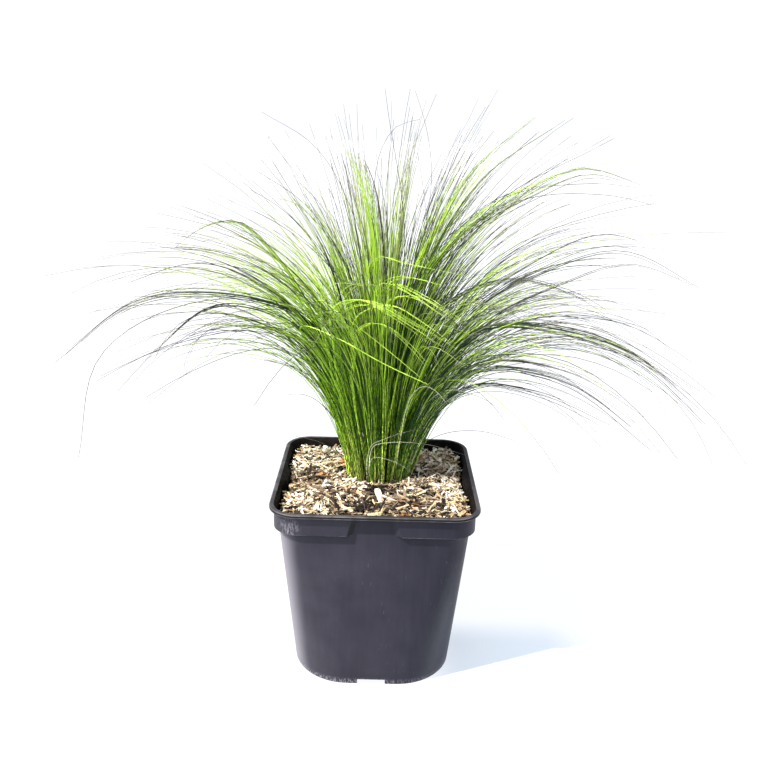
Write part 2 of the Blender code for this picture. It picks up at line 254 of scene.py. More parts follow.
# Strands that leave their locks: how many leaves, how far they part in degrees, the dullest and brightest
# green among them, below 0 for leaves that have dried pale, and the points that they pass through from root
# to tip, in millimetres.
MM = 0.001
STRAYS = (
    # A spear of bright leaves that stands up left of the middle, a hooked leaf and thin ones beside it.
    (30, 1.8, 0.5, 0.95, (-4, 14, 120), (-2, 5, 243), (-4, 0, 282), (-12, -5, 318), (-23, -10, 345)),
    (9, 1.6, 0.0, 0.4, (-2, 15, 120), (1, 8, 243), (0, 3, 282), (-7, -2, 318), (-18, -7, 340)),
    (1, 0, 0.0, 0.3, (-2, 15, 120), (-6, 15, 285), (-5, 14, 317), (-1, 12, 336), (8, 8, 349),
     (21, 5, 353)),
    (1, 0, 0.0, 0.3, (-2, 15, 120), (13, 15, 300), (8, 12, 328), (3, 10, 352), (0, 8, 370)),
    (1, 0, 0.0, 0.3, (4, 15, 120), (28, 18, 290), (30, 18, 322), (25, 15, 350), (18, 12, 369)),
    (3, 3, 0.0, 0.6, (-2, 15, 120), (-1, 15, 270), (-5, 15, 357)),
    (2, 3, 0.0, 0.4, (10, 20, 120), (28, 25, 285), (14, 30, 362)),
    (2, 2, 0.0, 0.4, (-6, 15, 120), (-12, 5, 288), (-40, 0, 338), (-70, -5, 356)),
    # Strands that rise to the upper right.
    (12, 4, 0.2, 0.9, (10, 20, 118), (31, 15, 271), (65, 20, 314), (116, 25, 362)),
    (12, 4, 0.3, 0.95, (8, 18, 118), (27, 10, 275), (49, 10, 320), (94, 10, 362)),
    (2, 3, 0.0, 0.3, (8, 18, 118), (21, 10, 287), (34, 10, 334), (61, 10, 357)),
    (12, 5, 0.2, 0.9, (12, 20, 118), (28, 12, 262), (55, 16, 290), (87, 18, 311), (117, 20, 326),
     (163, 22, 317)),
    (6, 3, 0.3, 0.8, (12, 22, 118), (31, 12, 265), (58, 18, 295), (102, 22, 319), (129, 26, 327),
     (179, 30, 332)),
    (10, 5, 0.55, 0.95, (10, 18, 118), (24, 5, 263), (42, 5, 293), (59, 8, 314), (77, 10, 330)),
    (8, 6, 0.0, 0.7, (12, 22, 118), (32, 20, 261), (83, 25, 302), (144, 30, 308), (193, 35, 299)),
    # Strands that arch to the right.
    (10, 4, 0.0, 0.6, (14, 20, 118), (58, 15, 236), (100, 20, 263), (146, 25, 279), (205, 25, 257)),
    (4, 4, 0.0, 0.4, (14, 22, 118), (72, 20, 229), (118, 30, 252), (163, 40, 265), (213, 45, 250)),
    (8, 5, 0.0, 0.7, (14, 18, 118), (51, 10, 244), (89, 15, 254), (129, 20, 243), (181, 25, 206)),
    (8, 5, 0.0, 0.6, (16, 18, 118), (77, 10, 228), (137, 10, 224), (220, 10, 174)),
    (16, 5, 0.05, 0.75, (16, 14, 118), (68, 0, 228), (112, -10, 229), (156, -20, 216), (208, -30, 174)),
    (10, 5, 0.0, 0.6, (16, 14, 118), (63, 5, 198), (108, -5, 199), (180, -15, 158)),
    (8, 6, 0.0, 0.4, (18, 18, 118), (64, 10, 187), (104, 5, 184), (161, 0, 161)),
    (6, 6, 0.0, 0.4, (18, 16, 118), (66, 0, 206), (118, -12, 206), (172, -24, 180)),
    # Strands that rise to the upper left, two of them bright.
    (14, 4, 0.1, 0.8, (-8, 18, 118), (-35, 8, 271), (-72, 0, 333)),
    (10, 3, 0.4, 0.9, (-8, 14, 118), (-31, -4, 276), (-42, -8, 297), (-51, -10, 304), (-69, -15, 308)),
    (14, 3, 0.35, 0.85, (-10, 14, 118), (-50, -2, 250), (-67, -8, 276), (-86, -14, 293),
     (-121, -22, 279), (-129, -25, 269)),
    (5, 4, 0.0, 0.4, (-10, 18, 118), (-26, 10, 258), (-55, 15, 284), (-104, 20, 308)),
    (8, 7, 0.0, 0.45, (-8, 18, 118), (-24, 12, 262), (-50, 12, 300), (-88, 12, 325)),
    (5, 4, 0.0, 0.5, (-12, 20, 118), (-52, 5, 236), (-88, 10, 260), (-158, 20, 277)),
    (5, 4, 0.0, 0.5, (-12, 18, 118), (-69, 5, 258), (-112, 10, 271), (-165, 10, 268)),
    (5, 4, 0.0, 0.5, (-12, 20, 118), (-64, 10, 242), (-109, 25, 260), (-182, 40, 240)),
    # Strands that arch to the left, the longest in a thick one.
    (20, 2.5, 0.0, 0.82, (-14, 16, 118), (-51, 0, 235), (-91, -10, 248), (-141, -18, 246),
     (-199, -25, 204)),
    (8, 3, 0.0, 0.5, (-14, 16, 118), (-56, -5, 230), (-101, -20, 242), (-133, -35, 218),
     (-158, -45, 191)),
    (12, 3, 0.15, 0.9, (-14, 14, 118), (-45, -5, 216), (-78, -20, 231), (-105, -30, 229),
     (-128, -38, 219)),
    (3, 2, 0.0, 0.3, (-14, 14, 118), (-62, -8, 225), (-117, -30, 234), (-136, -45, 198),
     (-134, -50, 156)),
    (1, 0, 0.0, 0.3, (-14, 14, 118), (-74, -10, 244), (-117, -30, 245), (-159, -50, 221),
     (-175, -60, 159)),
    (3, 6, 0.0, 0.3, (-14, 18, 118), (-65, 10, 220), (-104, 25, 223), (-129, 40, 198), (-133, 45, 163)),
    (6, 5, 0.0, 0.4, (-15, 18, 118), (-33, 10, 178), (-52, 8, 194), (-89, 5, 205)),
    (2, 4, 0.0, 0.2, (-15, 18, 118), (-33, 5, 170), (-45, -5, 182), (-69, -15, 183)),
    # Single leaves that hang low over the mulch and the rim.
    (1, 0, -0.5, -0.3, (-4, 8, 118), (-4, -8, 137), (-2, -14, 144), (9, -20, 145), (25, -25, 137),
     (35, -27, 125)),
    (1, 0, -0.5, -0.3, (-4, 8, 118), (-4, -8, 142), (-2, -12, 151), (9, -17, 156), (28, -20, 157),
     (58, -8, 145)),
    (1, 0, -0.5, -0.3, (-6, 8, 118), (-5, -8, 145), (-3, -12, 152), (4, -15, 157), (13, -18, 162),
     (34, -18, 168)),
    (1, 0, 0.0, 0.2, (16, 20, 122), (40, 18, 147), (67, 10, 155), (93, 6, 150)),
    (1, 0, 0.0, 0.2, (-14, 24, 121), (-36, 38, 131), (-62, 60, 129)),
)

# Young leaves that bend over the front of the tuft towards the right, bright to their tips.
BENT = (
    (16, 3.5, 0.3, 0.95, (-2, 12, 118), (0, -25, 232), (3, -45, 264), (18, -60, 262), (43, -78, 251),
     (56, -84, 248)),
    (6, 4.0, 0.5, 0.95, (-2, 12, 118), (2, -25, 226), (5, -48, 256), (17, -62, 260), (30, -72, 255),
     (40, -78, 250)),
    (10, 4.0, 0.35, 0.9, (-10, 12, 118), (-25, -25, 222), (-23, -42, 253), (-13, -54, 265),
     (1, -62, 266), (16, -70, 263)),
    (10, 3.0, 0.5, 0.95, (-10, 12, 118), (-25, -25, 219), (-24, -42, 249), (-10, -56, 257),
     (23, -74, 247), (43, -82, 237)),
    (2, 1.0, 0.6, 0.9, (-12, 12, 118), (-32, -20, 217), (-37, -36, 252), (-24, -50, 247),
     (-2, -62, 234), (23, -74, 217)),
    (7, 2.5, 0.5, 0.95, (-6, 12, 118), (-14, -30, 214), (-9, -46, 238), (2, -58, 244), (20, -70, 234),
     (31, -76, 223)),
    (3, 0.7, 0.7, 0.95, (-14, 12, 118), (-38, -15, 209), (-47, -34, 235), (-26, -50, 233),
     (2, -64, 222), (33, -78, 212)),
    (3, 2.0, 0.6, 0.9, (-4, 12, 118), (-3, -20, 237), (-2, -34, 273), (3, -40, 278), (15, -50, 277),
     (53, -66, 273)),
    (5, 2.5, 0.6, 0.9, (0, 12, 118), (2, -20, 231), (5, -36, 262), (11, -44, 267), (33, -58, 267),
     (54, -68, 259)),
    (7, 4.0, 0.5, 0.9, (-8, 12, 118), (-22, -22, 218), (-20, -42, 245), (-4, -52, 253),
     (11, -62, 248), (28, -70, 239)),
    (8, 7.0, 0.2, 0.9, (12, 8, 118), (17, -8, 170), (25, -18, 191), (37, -28, 203), (54, -38, 210)),
    (3, 3.0, 0.5, 0.9, (-10, 12, 118), (-28, -22, 218), (-26, -38, 243), (-17, -48, 235), (-4, -56, 218)),
)
BENT_WIDTH = 1.18
STRAY_WIDTH = 1.10
LATE_RIPENESS = 0.50
STRAY_STEPS = 8
STRAY_LEAF_STEPS = 34
STRAY_SPREAD = 0.0018
STRAY_SHORTEST = 0.60

# Tones of the wood, from bark to fresh pine, and of a young, an old and a dried leaf, from root to tip.
WOOD_TONES = (
    (0.0, "1A1310"), (0.17, "3A2C26"), (0.33, "6A5A50"), (0.50, "A08D79"),
    (0.66, "C8B594"), (0.80, "E0D1AE"), (0.91, "F2E8D8"), (1.0, "FFFAF2"),
)
LEAF_TONES = (
    ((0.0, "F2F6C0"), (0.07, "E4F87C"), (0.24, "BCEE44"), (0.64, "B8E24C"), (0.80, "A4B468"),
     (0.92, "706E62"), (1.0, "504E4A")),
    ((0.0, "9A9C54"), (0.08, "5E9426"), (0.20, "2C5E12"), (0.30, "1A4A0A"), (0.45, "183C08"),
     (0.60, "2A3622"), (0.78, "343234"), (1.0, "343236")),
    ((0.0, "F0EEC8"), (0.30, "E2E8CA"), (0.60, "A8A898"), (1.0, "5E5C58")),
)

# What a node's name starts with, and settings that several nodes share.
NODE_FAMILIES = ("ShaderNode", "GeometryNode", "FunctionNode", "Node")
DARKENED = {"data_type": "RGBA", "blend_type": "MULTIPLY"}
VECTORS = {"data_type": "FLOAT_VECTOR"}


def linear(colour):
    """The linear RGBA of an sRGB hex colour."""
    shares = [int(colour[k:k + 2], 16) / 255 for k in (0, 2, 4)]
    return (*[c / 12.92 if c <= 0.04045 else ((c + 0.055) / 1.055) ** 2.4 for c in shares], 1.0)


def feed(node, *values, **named):
    """Sets a node's inputs, in order or by name, each to a value, a hex colour or another node's output."""
    sockets = [socket for socket in node.inputs if socket.enabled]
    by_name = {socket.name.replace(" ", "_"): socket for socket in sockets}
    given = [*zip(sockets, values), *((by_name[name], value) for name, value in named.items())]
    for socket, value in given:
        if isinstance(value, bpy.types.Node):
            value = next(output for output in value.outputs if output.enabled)
        if isinstance(value, bpy.types.NodeSocket):
            node.id_data.links.new(value, socket)
        else:
            socket.default_value = linear(value) if socket.type == "RGBA" else value


def add_node(tree, kind, *values, stops=(), **named):
    """Adds a node. What it does may follow its kind, and stands alone for a Math node.

    A name with a capital is an input, any other a setting. A sum of many values takes several nodes.
    """
    if kind.split()[-1] in ("ADD", "SUBTRACT", "MULTIPLY") and len(values) > 2:
        values = (add_node(tree, kind, *values[:-1]), values[-1])
    kind, _, operation = (f"Math {kind}" if kind.isupper() else kind).partition(" ")
    family = next(start for start in NODE_FAMILIES if hasattr(bpy.types, start + kind))
    node = tree.nodes.new(family + kind)
    inputs = {name: named.pop(name) for name in list(named) if name[0].isupper()}
    if operation:
        node.operation = operation
    for name, value in named.items():
        setattr(node, name, value)
    feed(node, *values, **inputs)
    for k, (place, colour) in enumerate(stops):
        element = node.color_ramp.elements[k] if k < 2 else node.color_ramp.elements.new(place)
        element.position = place
        element.color = linear(colour)
    return node


def rotation(degrees, axis="Z", size=4):
    """A matrix that turns about an axis."""
    return Matrix.Rotation(radians(degrees), size, axis)


def new_object(name, data):
    """An object in the scene."""
    made = bpy.data.objects.new(name, data)
    bpy.context.scene.collection.objects.link(made)
    return made


def new_material(name, roughness):
    """A material, the function that adds nodes to it, its shader, and the place that a pattern goes by."""
    made = bpy.data.materials.new(name)
    made.use_nodes = True
    shader = made.node_tree.nodes["Principled BSDF"]
    shader.inputs["Roughness"].default_value = roughness
    add = partial(add_node, made.node_tree)
    return made, add, shader, add("TexCoord").outputs["Object"]


def nearness(add, place, spot, far, near, most):
    """Rises from 0 at the distance far from a spot to most at the distance near."""
    return add("MapRange", add("VectorMath DISTANCE", place, spot), far, near, 0.0, most)


def dust_and_scratches(add, place):
    """How much dust and scratching shows: specks 0.4 mm wide, and strokes 0.2 mm wide and 5 mm long."""
    specks = add("TexVoronoi", place, Scale=250.0)
    speck_size = add("MapRange", specks.outputs["Color"], 0.66, 1.0, 0.0, 0.08)
    marks = add("LESS_THAN", specks.outputs["Distance"], speck_size)
    for slant, apart in ((0.22, 0.0), (-0.55, 0.4)):
        drawn = add("Mapping", place, (apart,) * 3, (0.0, slant, 0.0), (1.0, 1.0, 0.04))
        strokes = add("TexNoise", drawn, Scale=2200.0, Detail=0.0)
        marks = add("MAXIMUM", marks, add("MapRange", strokes, 0.79, 0.86, 0.0, 0.5))
    # They gather in patches some 20 mm wide.
    patch = add("TexNoise", place, Scale=48.0, Detail=1.0)
    return add("MULTIPLY", marks, add("MapRange", patch, 0.52, 0.68))


def worn_and_highlit_edges(add, place, split):
    """How pale it is: edges worn and painted with highlights in patches, the foot and one corner worn."""
    rounded = add("Bevel", Radius=0.0005, samples=4)
    facing = add("VectorMath DOT_PRODUCT", rounded, add("NewGeometry").outputs["Normal"])
    edge = add("MapRange", facing, 0.985, 0.85, 0.0, 0.60)
    patch = add("TexNoise", place, Scale=85.0, Detail=3.0)
    patch = add("MapRange", patch, 0.46, 0.60)
    broken = add("MapRange", patch, 0.0, 1.0, 0.45, 1.0)
    # A painted highlight lies along one stretch under the right front panel, and painted highlight lines
    # run along the lip.
    patch = add("MAXIMUM", patch, nearness(add, place, HIGHLIT_STRETCH, 0.015, 0.011, 1.3))
    edge = add("MULTIPLY", edge, patch)
    for height in LIP_HIGHLIGHTS:
        off = add("ABSOLUTE", add("SUBTRACT", split["Z"], height))
        line = add("MapRange", off, 0.0004, 0.0002, 0.0, LIP_HIGHLIGHT_STRENGTH)
        edge = add("MAXIMUM", edge, add("MULTIPLY", line, broken))
    # The rim of the foot has stood and slid on grit, more so on the left.
    near_foot = add("MapRange", split["Z"], 0.0052, 0.0016, 0.0, 0.75)
    leftward = add("MapRange", split["X"], 0.03, -0.02, 0.35, 1.0)
    near_corner = nearness(add, place, SCUFFED_CORNER, 0.008, 0.002, 0.4)
    grazed = add("MAXIMUM", add("MULTIPLY", near_foot, leftward), near_corner)
    grazes = add("Mapping", place, Rotation=(0.0, 0.6, 0.0), Scale=(1.0, 1.0, 0.35))
    grit = add("TexNoise", grazes, Scale=1100.0, Detail=3.0)
    grazed = add("MULTIPLY", grazed, add("MapRange", grit, 0.44, 0.66))
    return add("MAXIMUM", edge, grazed)


def dust_and_painted_light(add, split, cloud):
    """How much dust and painted light lie on the pot: more to the left, and a painted highlight at the left
    front.
    """
    leftward = add("MapRange", split["X"], 0.04, -0.055, 0.0, 0.06)
    patchy = add("MapRange", cloud, 0.35, 0.70, 0.7, 1.1)
    # The painted highlight follows the slant of the wall.
    lean = (BODY_TOP_HALF - FOOT_HALF) / (POT_HEIGHT - COLLAR_HEIGHT)
    widened = add("MULTIPLY_ADD", split["Z"], lean, FOOT_HALF)
    inward = add("ADD", split["X"], widened)
    painted_highlight = add("MapRange", inward, HIGHLIGHT_REACH, 0.0, 0.0, HIGHLIGHT_STRONGEST, interpolation_type="SMOOTHSTEP")
    frontward = add("MapRange", split["Y"], -0.01, -0.03)
    below = add("MapRange", split["Z"], POT_HEIGHT - COLLAR_HEIGHT, HIGHLIGHT_TOP)
    return add("ADD", add("MULTIPLY", leftward, patchy), add("MULTIPLY", painted_highlight, frontward, below))


def painted_shade_and_lip(add, split):
    """How much colour and dust show: nooks under the lip and by the panels get painted shade."""
    occlusion = add("AmbientOcclusion", Distance=0.008, samples=8, only_local=True)
    nook_shade = add("MapRange", occlusion.outputs["AO"], 0.50, 0.95, 0.05, 1.0)
    # The lip is painted near black too, and bare of dust.
    lip_foot = POT_HEIGHT - LIP_HEIGHT
    lip_darkened = add("MapRange", split["Z"], lip_foot - MOULDED_EDGE, lip_foot, 1.0, 0.2)
    # The panels' ends beside each recess that look away from the light are painted near black: painted
    # shade.
    facing = add("SeparateXYZ", add("NewGeometry").outputs["Normal"])
    away = add("MapRange", facing.outputs["X"], 0.30, 0.50, 1.0, 0.1)
    recess = RECESS_FOOT_HALF + RECESS_SLOPE
    past = add("MapRange", add("ABSOLUTE", split["X"]), recess, recess + 0.001)
    return add("MULTIPLY", nook_shade, lip_darkened, add("MAXIMUM", away, past))


def moulded_polypropylene():
    """Black injection-moulded polypropylene: a satin skin under dust, rubbed edges, painted highlights and
    shade.
    """
    made, add, shader, place = new_material("moulded_polypropylene", 0.40)
    shader.inputs["IOR"].default_value = 1.49
    shader.inputs["Specular IOR Level"].default_value = 0.13
    split = add("SeparateXYZ", place).outputs
    # Flow marks of the moulding, about 3 mm wide and ten times as tall.
    drawn = add("Mapping", place, Scale=(1.0, 1.0, 0.1))
    flow = add("TexNoise", drawn, Scale=330.0, Detail=2.0)
    cloud = add("TexNoise", place, Scale=45.0, Detail=3.0)
    mottled = add("MULTIPLY", add("ADD", flow, cloud), 0.5)
    tone = add("ValToRGB", mottled, stops=((0.36, "242430"), (0.66, "2B2B37")))
    shade_and_lip = painted_shade_and_lip(add, split)
    # Painted shade and the dark lip take the colour to near black.
    tone = add("Mix", shade_and_lip, "08080B", tone, data_type="RGBA")
    # Dust, with painted light on the sunlit left, turns the colour a pale grey.
    dust_and_highlight = add("MULTIPLY", dust_and_painted_light(add, split, cloud), shade_and_lip)
    dusted_and_lit = add("Mix", dust_and_highlight, tone, "A7A5B4", data_type="RGBA")
    marks = add("MULTIPLY", dust_and_scratches(add, place), 0.28)
    # Scratches, worn edges and painted highlights turn the colour pale grey.
    worn_and_highlit = add("MAXIMUM", marks, worn_and_highlit_edges(add, place, split))
    colour = add("Mix", worn_and_highlit, dusted_and_lit, "B4B2BC", data_type="RGBA")
    rough = add("MapRange", cloud, 0.3, 0.7, 0.36, 0.48)
    rough = add("ADD", rough, add("MULTIPLY", worn_and_highlit, 0.35))
    # A moulded skin is never flat: it sinks by a tenth of a millimetre over 30 mm, under a fine grain.
    sink = add("TexNoise", place, Scale=32.0, Detail=1.0)
    skin = add("TexNoise", place, Scale=1800.0, Detail=2.0)
    waves = add("Bump", Height=sink, Distance=0.0006, Strength=0.6)
    grain = add("Bump", Height=skin, Distance=0.00003, Normal=waves, Strength=0.7)
    feed(shader, Base_Color=colour, Roughness=rough, Normal=grain)
    return made


def crumb_tones(made, add, shader, texture, stops, depth, strength):
    """Gives a material the tones of a texture, whose grains stand up by the depth."""
    tone = add("ValToRGB", texture, stops=stops)
    bump = add("Bump", Height=texture, Distance=depth, Strength=strength)
    feed(shader, Base_Color=tone, Normal=bump)
    return made


def soiled_polypropylene():
    """The same polypropylene on the inside, painted dull and nearly black: painted shade inside the pot."""
    made, add, shader, place = new_material("soiled_polypropylene", 0.80)
    shader.inputs["Specular IOR Level"].default_value = 0.10
    mottle = add("TexNoise", place, Scale=260.0, Detail=4.0)
    return crumb_tones(made, add, shader, mottle, ((0.38, "09080B"), (0.68, "1C1718")), 0.0003, 0.8)


def chipped_wood():
    """Chipped pine and bark: dry split fibre, cream to tan and rust, and grey where it has weathered."""
    made, add, shader, place = new_material("chipped_wood", 0.82)
    tint = add("Attribute", attribute_name="tint").outputs["Fac"]
    grain = add("Attribute", attribute_name="grain").outputs["Vector"]
    wood = add("ValToRGB", tint, stops=WOOD_TONES)
    # Patches of resinous orange and of pinkish bark, each some 12 mm across.
    patch = add("TexNoise", place, Scale=75.0, Detail=1.0)
    resin = add("MapRange", patch, 0.60, 0.70, 0.0, 0.75)
    for spot in RESIN_SPOTS:
        resin = add("MAXIMUM", resin, nearness(add, place, spot, 0.0065, 0.003, 0.9))
    bark = add("MapRange", patch, 0.42, 0.30, 0.0, 0.55)
    warm = add("Mix", resin, wood, "E3A45E", **DARKENED)
    dull = add("Mix", bark, warm, "D8B4A6", **DARKENED)
    # Fibres run the length of each chip, about six to its width, and show as dark lines.
    fibres = add("Mapping", grain, Scale=(1.2, 7.0, 4.0))
    moved = add("MULTIPLY", tint, 40.0)
    lines = add("TexNoise", fibres, W=moved, Scale=1.0, Detail=2.0, noise_dimensions="4D")
    dark = add("MapRange", lines, 0.35, 0.58, 0.50, 1.05)
    colour = add("Mix", 1.0, dull, dark, **DARKENED)
    bump = add("Bump", Height=lines, Distance=0.00018, Strength=0.8)
    feed(shader, Base_Color=colour, Normal=bump)
    return made


def wood_fines():
    """Crumbs of wood under the chips, about a millimetre: dark brown, painted near black for the shade
    between the chips.
    """
    made, add, shader, place = new_material("wood_fines", 0.95)
    crumbs = add("TexVoronoi", place, Scale=900.0, Randomness=1.0)
    stops = ((0.0, "090706"), (0.60, "14100E"), (0.88, "2C2520"), (1.0, "4E443A"))
    tone = add("ValToRGB", crumbs.outputs["Color"], stops=stops)
    bump = add("Bump", Height=crumbs.outputs["Distance"], Distance=0.0008, Strength=1.0)
    feed(shader, Base_Color=tone, Normal=bump)
    return made


def peat_mix():
    """Moist peat: near black, in crumbs of one to three millimetres, with paler fibres."""
    made, add, shader, place = new_material("peat_mix", 0.97)
    crumbs = add("TexNoise", place, Scale=450.0, Detail=5.0)
    stops = ((0.30, "120D0A"), (0.55, "271C15"), (0.75, "4A382B"))
    return crumb_tones(made, add, shader, crumbs, stops, 0.0012, 1.0)


def grass_leaf():
    """Feather grass, its leaves rolled as thin as wire: pale at the sheath, lime above, grey at the tip."""
    made, add, shader, place = new_material("grass_leaf", 0.38)
    along = add("Attribute", attribute_name="along").outputs["Fac"]
    tint = add("Attribute", attribute_name="tint").outputs["Fac"]
    young, old, dried = [add("ValToRGB", along, stops=tones) for tones in LEAF_TONES]
    green = add("Mix", add("MapRange", tint, 0.49, 0.60), old, young, data_type="RGBA")
    # A leaf whose tint is below 0 has dried to pale straw.
    colour = add("Mix", add("LESS_THAN", tint, 0.0), green, dried, data_type="RGBA")
    # Low down, dark lines a millimetre apart are painted on the leaves: painted shade, where they lie in
    # each other's shade.
    drawn = add("Mapping", place, Scale=(1.0, 1.0, 0.07))
    shade_lines = add("TexNoise", drawn, Scale=1300.0, Detail=1.0)
    shade_lines = add("MapRange", shade_lines, 0.42, 0.57, 0.24, 1.50)
    low = add("MapRange", along, 0.15, 0.50, 1.0, 0.0)
    feed(shader, Base_Color=add("Mix", low, colour, shade_lines, **DARKENED))
    return made


def opal_acrylic():
    """A sheet of opal acrylic, lit from under: it burns out to white, but for the pot's soft shadow."""
    made, add, shader, place = new_material("opal_acrylic", 0.9)
    shader.inputs["Emission Color"].default_value = linear(SKY_COLOUR)
    # The lamps leave out the patch where the shadow falls, and there alone the sheet itself is white.
    off = add("VectorMath SUBTRACT", place, SHADOW_MIDDLE)
    off = add("VectorMath SUBTRACT", add("VectorMath ABSOLUTE", off), SHADOW_HALVES)
    off = add("VectorMath LENGTH", add("VectorMath MAXIMUM", off, (0.0, 0.0, 0.0)))
    share = add("MapRange", off, 0.0, SHADOW_FADE, interpolation_type="SMOOTHSTEP")
    tone = add("Mix", share, "DFEFFF", "505052", data_type="RGBA")
    glow = add("MapRange", share, 0.0, 1.0, SHADOW_GLOW, FLOOR_GLOW)
    feed(shader, Base_Color=tone, Emission_Strength=glow)
    return made


def add_camera():
    """The camera, aimed at the middle of the plant."""
    data = bpy.data.cameras.new("camera")
    data.sensor_width = SENSOR_MM
    data.lens = SENSOR_MM * FOCAL_PIXELS / PICTURE_PIXELS
    data.clip_start = 0.01
    camera = new_object("camera", data)
    pitch = rotation(90 - CAMERA_RISE, "X")
    turn = pitch @ rotation(CAMERA_ROLL)
    back = turn @ Vector((0.0, 0.0, 1.0))
    camera.matrix_world = Matrix.Translation(CAMERA_AIM + CAMERA_DISTANCE * back) @ turn
    bpy.context.scene.camera = camera


def add_light():
    """The sun and the sky."""
    sun = bpy.data.lights.new("sun", "SUN")
    sun.energy = SUN_STRENGTH
    sun.angle = radians(SUN_SPREAD)
    sun.color = linear(SUN_COLOUR)[:3]
    turn = rotation(SUN_BEARING + 90)
    new_object("sun", sun).matrix_world = turn @ rotation(90 - SUN_RISE, "X")
    world = bpy.data.worlds.new("sky")
    world.use_nodes = True
    add = partial(add_node, world.node_tree)
    sky = world.node_tree.nodes["Background"]
    sky.inputs["Color"].default_value = linear(SKY_COLOUR)
    height = add("SeparateXYZ", add("TexCoord").outputs["Generated"]).outputs["Z"]
    feed(sky, Strength=add("MapRange", height, SKY_BAND, 1.0, SKY_STRENGTH, SKY_OVERHEAD))
    bpy.context.scene.world = world
    bpy.context.scene.view_settings.view_transform = "Standard"


def add_piece(name, mesh, material):
    """A finished piece at the origin, in its material, that rides with the pot."""
    mesh.materials.clear()
    mesh.materials.append(material)
    piece = new_object(name, mesh)
    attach(piece, "root")
    return piece


def plain_mesh(name, mesh, modify):
    """What the modifiers that modify adds make of a mesh, as a plain mesh."""
    holder = new_object(name, mesh)
    modify(holder)
    graph = bpy.context.evaluated_depsgraph_get()
    made = bpy.data.meshes.new_from_object(holder.evaluated_get(graph))
    made.name = name
    bpy.data.objects.remove(holder)
    return made


def grow(name, mesh, tree, sizes):
    """What a node tree makes of a mesh, with the tree's named inputs set by their identifiers."""
    items = tree.interface.items_tree
    identifiers = {item.name: item.identifier for item in items if item.in_out == "INPUT"}

    def modify(holder):
        modifier = holder.modifiers.new(tree.name, "NODES")
        modifier.node_group = tree
        for size, value in sizes.items():
            modifier[identifiers[size]] = value

    return plain_mesh(name, mesh, modify)


def new_tree(name, **sizes):
    """A geometry node tree with these named inputs, the function that adds nodes, and the inputs."""
    tree = bpy.data.node_groups.new(name, "GeometryNodeTree")
    tree.interface.new_socket("Geometry", in_out="OUTPUT", socket_type="NodeSocketGeometry")
    for size, kind in {"Geometry": "Geometry", **sizes}.items():
        tree.interface.new_socket(size, in_out="INPUT", socket_type=f"NodeSocket{kind}")
    add = partial(add_node, tree)
    return tree, add, add("GroupInput").outputs


def add_floor():
    """A white sheet under the pot, out past the camera's view."""
    bm = bmesh.new()
    bmesh.ops.create_grid(bm, x_segments=1, y_segments=1, size=FLOOR_HALF)
    mesh = mesh_of("floor", bm)
    mesh.materials.append(opal_acrylic())
    new_object("floor", mesh)


def loft(rings):
    """A closed skin over rings with the same number of points, with the first and last ring capped."""
    bm = bmesh.new()
    loops = [[bm.verts.new(point) for point in ring] for ring in rings]
    count = len(loops[0])
    for low, high in zip(loops, loops[1:]):
        for i in range(count):
            after = (i + 1) % count
            bm.faces.new((low[i], low[after], high[after], high[i]))
    bm.faces.new(loops[0])
    bm.faces.new(loops[-1])
    bmesh.ops.recalc_face_normals(bm, faces=bm.faces)
    return bm


def mesh_of(name, bm):
    """A mesh made from bm."""
    mesh = bpy.data.meshes.new(name)
    bm.to_mesh(mesh)
    bm.free()
    return mesh


def square_ring(z, half, corner, recess=None):
    """Points round a rounded square at height z, which may step in midway along each side."""
    straight = half - corner
    middle, inner, outer = recess or (half, straight / 3, straight * 2 / 3)
    side = [
        (-straight, half), (-outer, half), (-inner, middle),
        (inner, middle), (outer, half), (straight, half),
    ]
    for step in range(1, CORNER_ARC_STEPS):
        turn = radians(90 * step / CORNER_ARC_STEPS)
        side.append((straight + corner * sin(turn), straight + corner * cos(turn)))
    points = []
    for quarter in range(4):
        turned = rotation(90 * quarter, size=3)
        points += [turned @ Vector((along, -out, z)) for along, out in side]
    return points


def body_ring(z, inset=0.0):
    """The body's outline at height z, or one inset from it."""
    share = z / (POT_HEIGHT - COLLAR_HEIGHT)
    half = FOOT_HALF + (BODY_TOP_HALF - FOOT_HALF) * share
    corner = FOOT_CORNER + (RIM_CORNER - LIP_WIDTH - FOOT_CORNER) * share
    return square_ring(z, half - inset, corner - inset)


def collar_ring(z, inset=0.0):
    """The collar's outline at height z: four corner panels with a recess between each two."""
    share = (POT_HEIGHT - z) / COLLAR_HEIGHT
    reach = RECESS_TOP_HALF + (RECESS_FOOT_HALF - RECESS_TOP_HALF) * share - inset
    half = COLLAR_HALF - inset
    recess = (half - COLLAR_STEP, reach, reach + RECESS_SLOPE)
    return square_ring(z, half, RIM_CORNER - LIP_WIDTH - inset, recess)


def pot_rings():
    """The pot's rings: from under its floor round the foot, up outside, over the lip and down inside."""
    collar_foot = POT_HEIGHT - COLLAR_HEIGHT
    lip_foot = POT_HEIGHT - LIP_HEIGHT
    inside_levels = (collar_foot, *reversed(BODY_LEVELS), FLOOR_RAISE + WALL)
    return [
        body_ring(FLOOR_RAISE, FOOT_RIM + EDGE_EASE),
        body_ring(0.0, FOOT_RIM),
        body_ring(0.0, EDGE_EASE),
        body_ring(2 * EDGE_EASE),
        *[body_ring(z) for z in BODY_LEVELS],
        body_ring(collar_foot),
        collar_ring(collar_foot + EDGE_EASE),
        collar_ring(lip_foot),
        square_ring(lip_foot, RIM_HALF, RIM_CORNER),
        square_ring(POT_HEIGHT - EDGE_EASE, RIM_HALF, RIM_CORNER),
        square_ring(POT_HEIGHT, RIM_HALF - EDGE_EASE, RIM_CORNER - EDGE_EASE),
        square_ring(POT_HEIGHT, RIM_HALF - LIP_WIDTH, RIM_CORNER - LIP_WIDTH),
        collar_ring(lip_foot - EDGE_EASE, WALL),
        collar_ring(collar_foot + EDGE_EASE + WALL, WALL),
        *[body_ring(z, WALL) for z in inside_levels],
    ]


